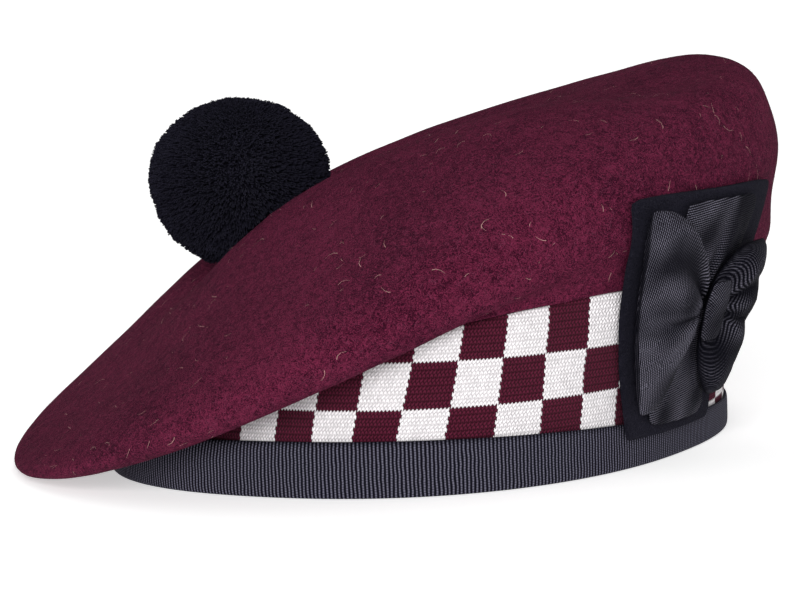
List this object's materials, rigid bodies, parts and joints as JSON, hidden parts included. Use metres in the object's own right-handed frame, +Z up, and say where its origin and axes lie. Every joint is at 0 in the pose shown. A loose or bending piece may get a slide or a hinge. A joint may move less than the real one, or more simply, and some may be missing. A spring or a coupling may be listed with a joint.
{
  "type": "balmoral bonnet",
  "caption": "Soft felt bonnet pulled down to one side over a diced knitted band, with ribbon binding, a ribbon cockade and a wool toorie.",
  "frame": {"origin": "under the middle of the bonnet's box, on the surface that the rim rests on", "axes": "-Y towards the wearer's front, +X towards the wearer's left, where the cockade is, +Z up"},
  "size_m": [0.2286, 0.2324, 0.113],
  "materials": {
    "felt": "soft fulled wool",
    "dicing": "fine knit in white and deep maroon squares",
    "ribbon": "ribbed grosgrain with a low sheen",
    "toorie_wool": "dense cut wool pile"
  },
  "bodies": {
    "root": {"crown": "felt", "diced_band": "dicing", "ribbon_binding": "ribbon", "cockade_backing": "ribbon", "cockade_strip": "ribbon", "cockade_bow_front": "ribbon", "cockade_bow_rear": "ribbon", "cockade_knot": "ribbon", "toorie": "toorie_wool"}
  },
  "joints": []
}
